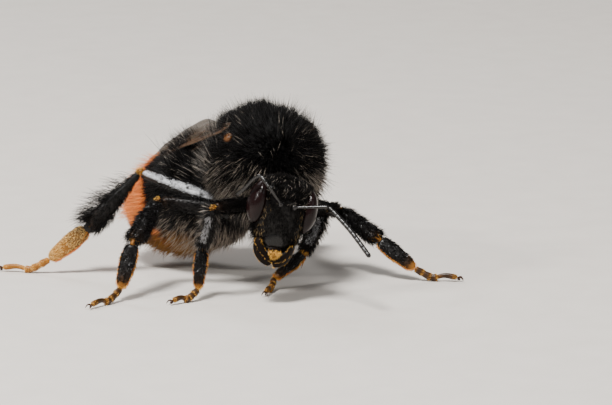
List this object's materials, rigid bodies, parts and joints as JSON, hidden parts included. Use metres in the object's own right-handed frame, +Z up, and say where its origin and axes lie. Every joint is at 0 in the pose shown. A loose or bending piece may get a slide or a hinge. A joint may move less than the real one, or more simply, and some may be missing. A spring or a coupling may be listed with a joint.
{
  "type": "bumblebee",
  "caption": "Life-size still model of a red-tailed bumblebee queen, standing on its six feet with its wings folded and its head turned to one side.",
  "frame": {"origin": "middle of the bounding box's footprint, on the floor under the feet", "axes": "+Z up, the thorax heads along -Y, the bee's left side is +X, and +X is the longest extent, across the spread legs"},
  "size_m": [0.0296, 0.0266, 0.0136],
  "materials": {
    "coat_black": "matt black hair",
    "coat_red": "matt orange-red hair",
    "shell": "satin black shell with short hair",
    "foot": "satin brown shell with golden hair",
    "eye": "gloss dark brown",
    "jaw": "gloss dark brown",
    "tegula": "satin golden brown",
    "wing": "satin smoky membrane with dark veins"
  },
  "bodies": {
    "root": {"head": "coat_black", "clypeus": "shell", "eye_right": "eye", "mandible_right": "jaw", "antenna_right_scape": "shell", "antenna_right_flagellum": "shell", "eye_left": "eye", "mandible_left": "jaw", "antenna_left_scape": "shell", "antenna_left_flagellum": "shell", "thorax": "coat_black", "abdomen_1": "coat_black", "abdomen_2": "coat_black", "abdomen_3": "coat_black", "abdomen_4": "coat_red", "abdomen_5": "coat_red", "abdomen_6": "coat_red", "tegula_right": "tegula", "forewing_right": "wing", "hindwing_right": "wing", "tegula_left": "tegula", "forewing_left": "wing", "hindwing_left": "wing", "leg_front_right_femur": "shell", "leg_front_right_tibia": "shell", "leg_front_right_basitarsus": "shell", "leg_front_right_tarsus": "foot", "leg_front_left_femur": "shell", "leg_front_left_tibia": "shell", "leg_front_left_basitarsus": "shell", "leg_front_left_tarsus": "foot", "leg_middle_right_femur": "shell", "leg_middle_right_tibia": "shell", "leg_middle_right_basitarsus": "shell", "leg_middle_right_tarsus": "foot", "leg_middle_left_femur": "shell", "leg_middle_left_tibia": "shell", "leg_middle_left_basitarsus": "shell", "leg_middle_left_tarsus": "foot", "leg_hind_right_femur": "shell", "leg_hind_right_tibia": "shell", "leg_hind_right_basitarsus": "shell", "leg_hind_right_tarsus": "foot", "leg_hind_left_femur": "shell", "leg_hind_left_tibia": "shell", "leg_hind_left_basitarsus": "shell", "leg_hind_left_tarsus": "foot"}
  },
  "joints": []
}
